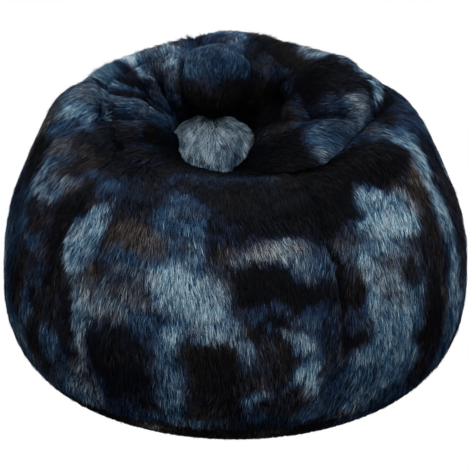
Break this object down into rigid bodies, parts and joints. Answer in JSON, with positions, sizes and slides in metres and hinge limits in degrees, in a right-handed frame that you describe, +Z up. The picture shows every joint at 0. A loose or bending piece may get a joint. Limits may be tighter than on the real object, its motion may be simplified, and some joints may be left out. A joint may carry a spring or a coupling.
{
  "type": "bean bag chair",
  "caption": "Round faux-fur bean bag chair sat into a forward-facing hollow, with sewn gores, a round cap, a zipped base seam, an inner liner and bead filling.",
  "frame": {"origin": "on the floor under the middle of the bag's widest circle", "axes": "+Z up, the front of the seat faces -Y, +X to the right of someone who looks at the front"},
  "size_m": [0.9498, 0.9498, 0.7],
  "materials": {
    "fur": "matte",
    "seam_tape": "matte",
    "zip_coil": "satin",
    "zip_metal": "satin",
    "liner_cloth": "matte",
    "label_cloth": "satin",
    "beads": "matte"
  },
  "bodies": {
    "bag": {"front_panel": "fur", "front_right_panel": "fur", "back_right_panel": "fur", "back_panel": "fur", "back_left_panel": "fur", "front_left_panel": "fur", "top_cap": "fur", "base_panel": "fur", "panel_seam_tapes": "seam_tape", "cap_seam_tape": "seam_tape", "base_seam_tape": "seam_tape", "cover_zip_upper_tape": "seam_tape", "cover_zip_lower_tape": "seam_tape", "cover_zip_upper_coil": "zip_coil", "cover_zip_lower_coil": "zip_coil", "cover_zip_top_stop": "zip_metal", "cover_zip_bottom_stop": "zip_metal", "zip_guard_flap": "seam_tape", "care_label": "label_cloth", "liner_front_panel": "liner_cloth", "liner_right_panel": "liner_cloth", "liner_back_panel": "liner_cloth", "liner_left_panel": "liner_cloth", "liner_top": "liner_cloth", "liner_base": "liner_cloth", "liner_seam_tape": "liner_cloth", "liner_zip_upper_tape": "liner_cloth", "liner_zip_lower_tape": "liner_cloth", "liner_zip_upper_coil": "zip_coil", "liner_zip_lower_coil": "zip_coil", "liner_zip_top_stop": "zip_metal", "liner_zip_bottom_stop": "zip_metal", "bead_filling": "beads"},
    "cover_slider": {"cover_zip_slider": "zip_metal"},
    "liner_slider": {"liner_zip_slider": "zip_metal"}
  },
  "joints": [
    {"name": "cover_zip", "type": "hinge", "parent": "bag", "child": "cover_slider", "pos_m": [0, 0, 0.095], "axis": [0, 0, 1], "range_deg": [0, 65]},
    {"name": "liner_zip", "type": "hinge", "parent": "bag", "child": "liner_slider", "pos_m": [0, 0, 0.095], "axis": [0, 0, 1], "range_deg": [0, 55]}
  ]
}
